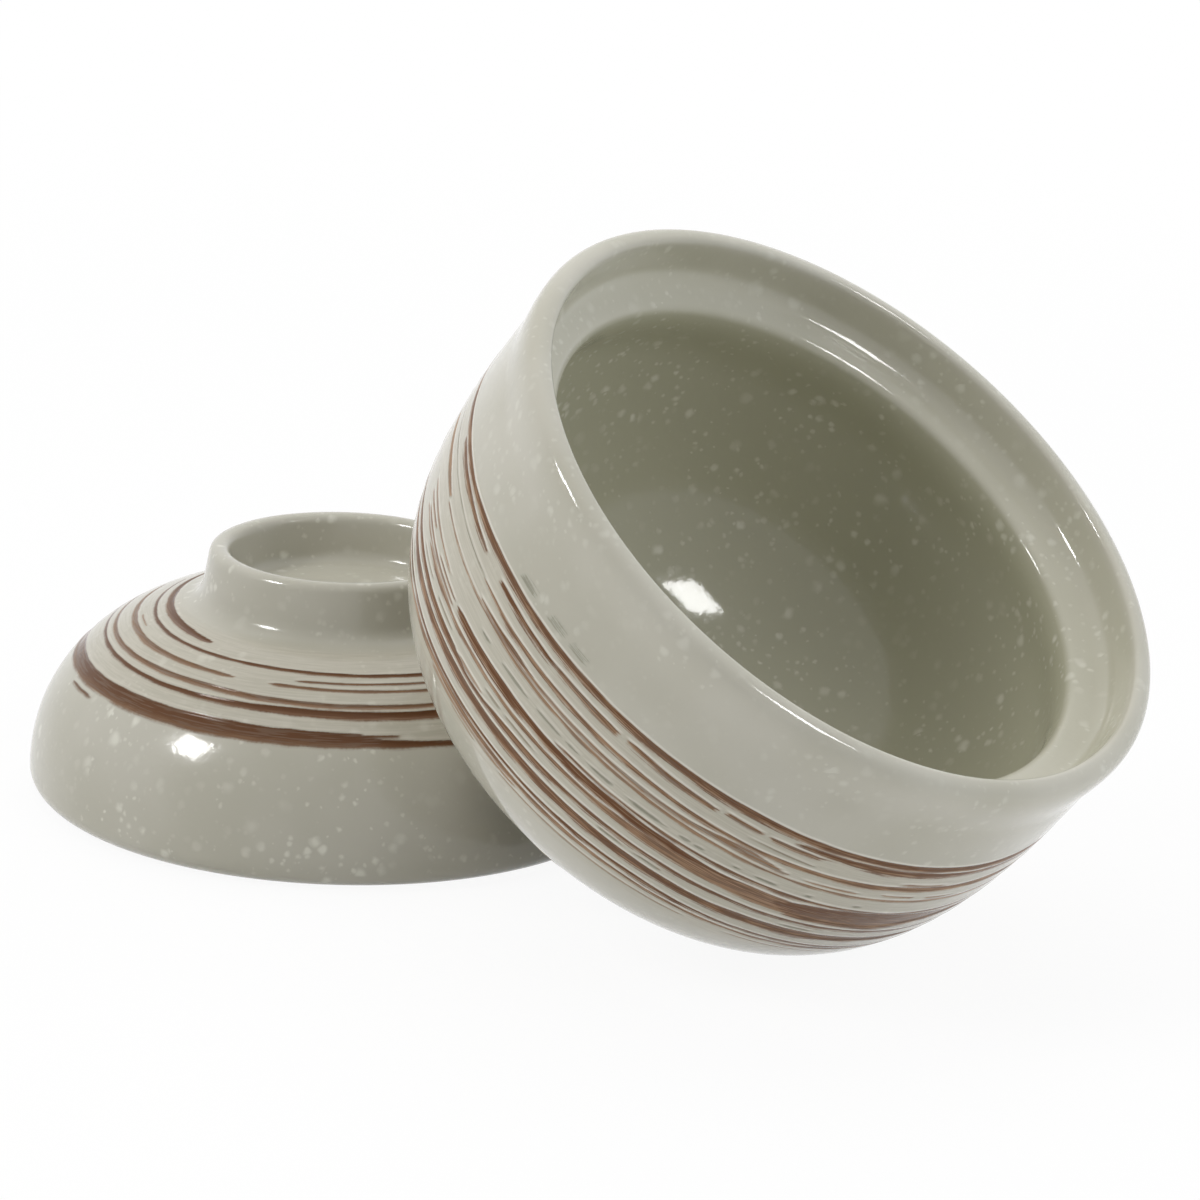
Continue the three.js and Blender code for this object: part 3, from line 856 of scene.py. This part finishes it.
rows = bowl_rows[1:-1]
radius, height = rows.T
lip_row = int(np.argmax(height))
outside = np.arange(len(rows)) < lip_row
wall_place = np.where(outside & (height > FOOT_HEIGHT), height, OFF_WALL)
strokes = BOWL_STROKES + dash_strokes(BOWL_DASHES)
*fields, relief = brush(strokes, wall_place + READ_HIGH, 1, WALL_RADIUS, BOWL_WASH, BOWL_LIP)
cream = smooth(wall_place - BAND_LOW + CREAM_BELOW, CREAM_SOFT)
cream = cream * smooth(BAND_HIGH - wall_place - CREAM_STOP, CREAM_STOP_SOFT)
bare = outside & (height < BARE_FOOT) & (radius > FOOT_RADIUS - FOOT_WIDTH - BARE_INSIDE)
depth = BOWL_HEIGHT - height
shaded_inside = GALLERY_SHADE * smooth(depth - SHADE_START, SHADE_SOFT)
shaded_inside = shaded_inside + (1 - GALLERY_SHADE) * smooth(depth - seat_depth, SHADE_EDGE)
shaded_inside = np.where(outside, 0, shaded_inside)
zones = [cream[:, None], 1.0 * bare[:, None], height[:, None], shaded_inside[:, None] + np.zeros(COLUMNS)]
bowl = turned_skin("bowl_skin", *pressed(rows, relief), bowl_axes, bowl_origin, fields, zones)
print("bowl skin", 2 * len(bowl.data.polygons), "triangles at most, deepest cut", -relief.min(), "mm")

# %% The lid's skin
LID_BAND_MIDDLE = 48
LID_WASH = 0.45
LID_LIP = 0.15
# The cream reaches this radius and fades out towards the knob, and bare clay reaches this high on the rim.
LID_CREAM_OUTER = 54.9
LID_CREAM_SOFT = 0.5
KNOB_CREAM_GAP = 2
KNOB_CREAM_SOFT = 4
KNOB_STROKE_GAP = 1
BARE_RIM = 0.3
# A radius that no stroke comes near, for the rows that aren't on the dome.
OFF_DOME = 999

rows = lid_rows[1:-1]
radius, height = rows.T
rim_row = int(np.argmax(radius))
outside = np.arange(len(rows)) > rim_row
dome_place = np.where(outside & (radius > knob_base_radius + KNOB_STROKE_GAP), radius, OFF_DOME)
*fields, relief = brush(LID_STROKES, dome_place, -1, LID_BAND_MIDDLE, LID_WASH, LID_LIP)
cream = smooth(LID_CREAM_OUTER - dome_place, LID_CREAM_SOFT)
cream = cream * smooth(dome_place - knob_base_radius - KNOB_CREAM_GAP, KNOB_CREAM_SOFT)
bare = ~outside & (height < BARE_RIM)
zones = [cream[:, None], 1.0 * bare[:, None], radius[:, None], np.zeros((len(rows), COLUMNS))]
lid = turned_skin("lid_skin", *pressed(rows, relief), lid_axes, lid_origin, fields, zones)
print("lid skin", 2 * len(lid.data.polygons), "triangles at most, deepest cut", -relief.min(), "mm")

# %% [markdown]
# ## The glaze
#
# The glaze is a glossy grey-green glass over pale clay. White specks float in it in loose clusters, it
# turns creamy where it lies thin over the cut bands, and iron brown shows through from the grooves, where
# it mirrors less. A photograph could be wrapped around the piece, but it would smear on every side that it
# doesn't show. Worked out at each point from the wheel coordinates, the same finish covers all sides.

# %% Speckles
SPECK_COLOUR = tint(224, 223, 211)
# Each kind: cell size in millimetres, largest radius and share of the cells that hold one, and strength.
SPECK_KINDS = [(1.7, 0.48, 0.5, 0.45), (3.3, 0.48, 0.6, 0.6), (5.8, 0.37, 0.65, 0.65)]
SPECK_WARP = 0.35
SPECK_BLOT = 0.5
SPECK_LEAST = 0.35
SPECK_CORE = 0.25


def noise(paint, place, size, detail=2.0, output="Fac"):
    """Cloudy noise around one half, with blots of about that size."""
    values = {"Vector": place, "Scale": 1 / size, "Detail": detail}
    return paint.node("ShaderNodeTexNoise", {}, values, output)


def specks(paint, place, cell, reach, share, strength):
    """Soft dots with uneven edges: in each cell of a Voronoi pattern one dot may sit, with a radius of its
    own up to reach cells. share is the part of the cells that hold one."""
    bend = (SPECK_WARP * cell,) * 3
    uneven = noise(paint, place, SPECK_BLOT * cell, 1.0, "Color")
    bent = {0: uneven, 1: bend, 2: place}
    warped = paint.node("ShaderNodeVectorMath", {"operation": "MULTIPLY_ADD"}, bent)
    cells = paint.node("ShaderNodeTexVoronoi", {}, {"Vector": warped, "Scale": 1 / cell}, "Distance")
    chance = paint.node("ShaderNodeSeparateColor", {}, {"Color": cells.other("Color")}, "Red")
    size = reach * (SPECK_LEAST + (1 - SPECK_LEAST) * chance)
    dot = cells.ramp(size, SPECK_CORE * size)
    held = paint.sum("LESS_THAN", chance.other("Green"), share)
    return strength * dot * held


print(len(SPECK_KINDS), "kinds of specks, in cells of", [kind[0] for kind in SPECK_KINDS], "mm")

# %% Colours and measures of the glaze
GLAZE = tint(199, 196, 183)
GLAZE_DEEP = tint(190, 187, 172)
# Painted shade: the darker colour of the inside of the bowl.
HOLLOW_SHADE = tint(180, 178, 157)
CREAM = tint(200, 195, 180)
CREAM_DEEP = tint(190, 185, 169)
# A painted highlight along the ridge above each stroke.
RIDGE_HIGHLIGHT = tint(240, 236, 226)
BROWN_DARK = tint(110, 75, 50)
BROWN_LIGHT = tint(164, 133, 105)
# Painted shadow: the grey in cuts that hold little brown.
CUT_SHADOW = tint(142, 140, 124)
CLAY = tint(203, 192, 172)
GLAZE_IOR = 1.42
IRON_IOR = 1.22
BROWN_ROUGHNESS = 0.13
CLAY_ROUGHNESS = 0.8
# Noise lies around one half, and between these two it goes from 0 to 1.
CLOUDY = (0.3, 0.7)
# Streaks of the brush run along the strokes: how fast they change along and across, per millimetre.
STREAK_ALONG = 0.13
STREAK_ACROSS = 3.2
# The brown's edge: size of its ragged blots, what blots and streaks add, and where it starts and ends.
RAGGED_SIZE = 0.7
RAGGED_EDGE = 0.4
STREAKY_EDGE = 0.7
MARK_EDGE = (0.02, 0.95)
# A dry brush leaves gaps in the streaks, the ridge above a stroke is wiped nearly clean, and this is how
# strongly the painted highlight on the ridge shows.
DRY_GAPS = 0.85
DRY_EDGE = (0.48, 0.6)
RIDGE_WIPED = 0.7
RIDGE_HIGHLIGHT_SHARE = 0.8
# How streaky the brown's depth is, where it goes from light to dark, and below what it is only a cut,
# painted grey as shadow.
STREAKY_DEPTH = 0.7
BROWN_DEPTH = (0.1, 0.8)
CUT_SHADOW_DEPTH = (0.08, 0.25)
# Clouds in the glaze and clusters of specks, in millimetres; specks outside a cluster, and hidden by cream.
CLOUD_SIZE = 30.0
CLUSTER = 18
CLUSTER_EDGE = (0.4, 0.6)
LONE_SPECKS = 0.2
CREAM_HIDES = 0.6
# The glaze's skin: height of its waves in metres, their two sizes in millimetres, and the dent at a speck.
WAVES = 0.00004
SMALL_WAVES = 2.2
LARGE_WAVES = 6.0
LARGE_SHARE = 0.8
SPECK_DENT = 0.4
print("glaze", [round(v, 2) for v in GLAZE[:3]], "and brown", [round(v, 2) for v in BROWN_DARK[:3]])

# %% Glaze material


def stoneware_glaze(name, glaze_shade, iron, speckling, brushing, gloss):
    """Grey-green glaze with white specks, cream over the cut bands and brown in the cuts. firing scales the
    glaze's and the cream's colours, below 1 as painted shade on a piece that wears the same glaze, iron is
    how pale the brown came out of the kiln, speckling is how far its specks show, brushing how streaky the
    brown is and gloss the roughness of the glaze."""
    glaze, glaze_deep, cream_pale, cream_deep, brown_light, brown_dark = (
        (*[strength * v for v in colour[:3]], 1)
        for strength, colour in (
            (glaze_shade, GLAZE), (glaze_shade, GLAZE_DEEP), (glaze_shade, CREAM), (glaze_shade, CREAM_DEEP),
            (iron, BROWN_LIGHT), (iron, BROWN_DARK),
        )
    )
    material = bpy.data.materials.new(name)
    paint = fresh_tree(material)
    wheel = paint.node("ShaderNodeAttribute", {"attribute_name": "wheel"}, {}, "Vector")
    brushed = paint.node("ShaderNodeAttribute", {"attribute_name": "brush"}, {}, "Color")
    cover = paint.node("ShaderNodeSeparateColor", {}, {"Color": brushed}, "Red")
    dark, ridge, dryness = cover.other("Green"), cover.other("Blue"), brushed.other("Alpha")
    zone = paint.node("ShaderNodeAttribute", {"attribute_name": "zone"}, {}, "Color")
    shaded_inside = zone.other("Alpha")
    zone = paint.node("ShaderNodeSeparateColor", {}, {"Color": zone}, "Red")
    cream, bare, level = zone, zone.other("Green"), zone.other("Blue")

    turned = paint.node("ShaderNodeSeparateXYZ", {}, {"Vector": wheel}, "X")
    along = {"X": STREAK_ALONG * turned, "Y": STREAK_ALONG * turned.other("Y"), "Z": STREAK_ACROSS * level}
    streaks = noise(paint, paint.node("ShaderNodeCombineXYZ", {}, along), 1.0)
    streaky = streaks.ramp(*CLOUDY)
    ragged = noise(paint, wheel, RAGGED_SIZE)
    grain = brushing * (streaky - 0.5)
    soft = 4 * cover * (1 - cover)
    mark = (cover + soft * (RAGGED_EDGE * (ragged - 0.5) + STREAKY_EDGE * grain)).ramp(*MARK_EDGE)
    gaps = DRY_GAPS * dryness * streaks.ramp(*DRY_EDGE)
    pigment = mark * (1 - gaps) * (1 - RIDGE_WIPED * ridge)

    ground = noise(paint, wheel, CLOUD_SIZE).ramp(*CLOUDY).blend(glaze_deep, glaze)
    # Painted shade inside the bowl, where the specks also show fully.
    ground = shaded_inside.blend(ground, HOLLOW_SHADE)
    ground = cream.blend(ground, streaky.blend(cream_deep, cream_pale))
    cluster = noise(paint, wheel, CLUSTER).ramp(*CLUSTER_EDGE)
    dots = 0.0
    for kind in SPECK_KINDS:
        dots = paint.sum("MAXIMUM", dots, specks(paint, wheel, *kind))
    dots = dots * (LONE_SPECKS + (1 - LONE_SPECKS) * cluster)
    dots = dots * (speckling + (1 - speckling) * shaded_inside) * (1 - CREAM_HIDES * cream)
    ground = dots.blend(ground, SPECK_COLOUR)
    # Painted highlight along the ridges above the strokes.
    ground = (RIDGE_HIGHLIGHT_SHARE * ridge).blend(ground, RIDGE_HIGHLIGHT)

    depth = dark + STREAKY_DEPTH * grain
    brown = depth.ramp(*BROWN_DEPTH).blend(brown_light, brown_dark)
    # Where little brown lies, the cut is painted grey as shadow.
    brown = dark.ramp(*CUT_SHADOW_DEPTH).blend(CUT_SHADOW, brown)
    colour = pigment.blend(ground, brown)
    colour = bare.blend(colour, CLAY)

    rough = gloss + (BROWN_ROUGHNESS - gloss) * pigment
    rough = rough + bare * (CLAY_ROUGHNESS - rough)
    waves = noise(paint, wheel, SMALL_WAVES) + LARGE_SHARE * noise(paint, wheel, LARGE_WAVES)
    skin = waves - SPECK_DENT * dots
    bump = paint.node("ShaderNodeBump", {}, {"Strength": 1.0, "Distance": WAVES, "Height": skin})
    values = {"Base Color": colour, "Roughness": rough, "Normal": bump}
    glazed = paint.node("ShaderNodeBsdfPrincipled", {}, {**values, "IOR": GLAZE_IOR})
    ironed = paint.node("ShaderNodeBsdfPrincipled", {}, {**values, "IOR": IRON_IOR})
    fired = paint.node("ShaderNodeMixShader", {}, {"Fac": pigment, 1: glazed, 2: ironed})
    paint.node("ShaderNodeOutputMaterial", {}, {"Surface": fired})
    return material


# %% Dress the frame
# The lid wears the same glaze as the bowl, painted darker as shade.
BOWL_RECIPE = {"glaze_shade": 1.0, "iron": 1.0, "speckling": 0.65, "brushing": 1.0, "gloss": 0.085}
LID_RECIPE = {"glaze_shade": 0.91, "iron": 0.8, "speckling": 1.15, "brushing": 0.3, "gloss": 0.125}

for piece, body, slot, recipe in (
    (bowl, "bowl", "bowl_glaze", BOWL_RECIPE),
    (lid, "lid", "lid_glaze", LID_RECIPE),
):
    piece.data.materials.append(stoneware_glaze(slot, **recipe))
    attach(piece, body)
    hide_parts(body)
    nodes = piece.data.materials[0].node_tree.nodes
    print(piece.name, "rides on", body, "with", len(nodes), "nodes in its glaze")

# %% Bring in json
import json
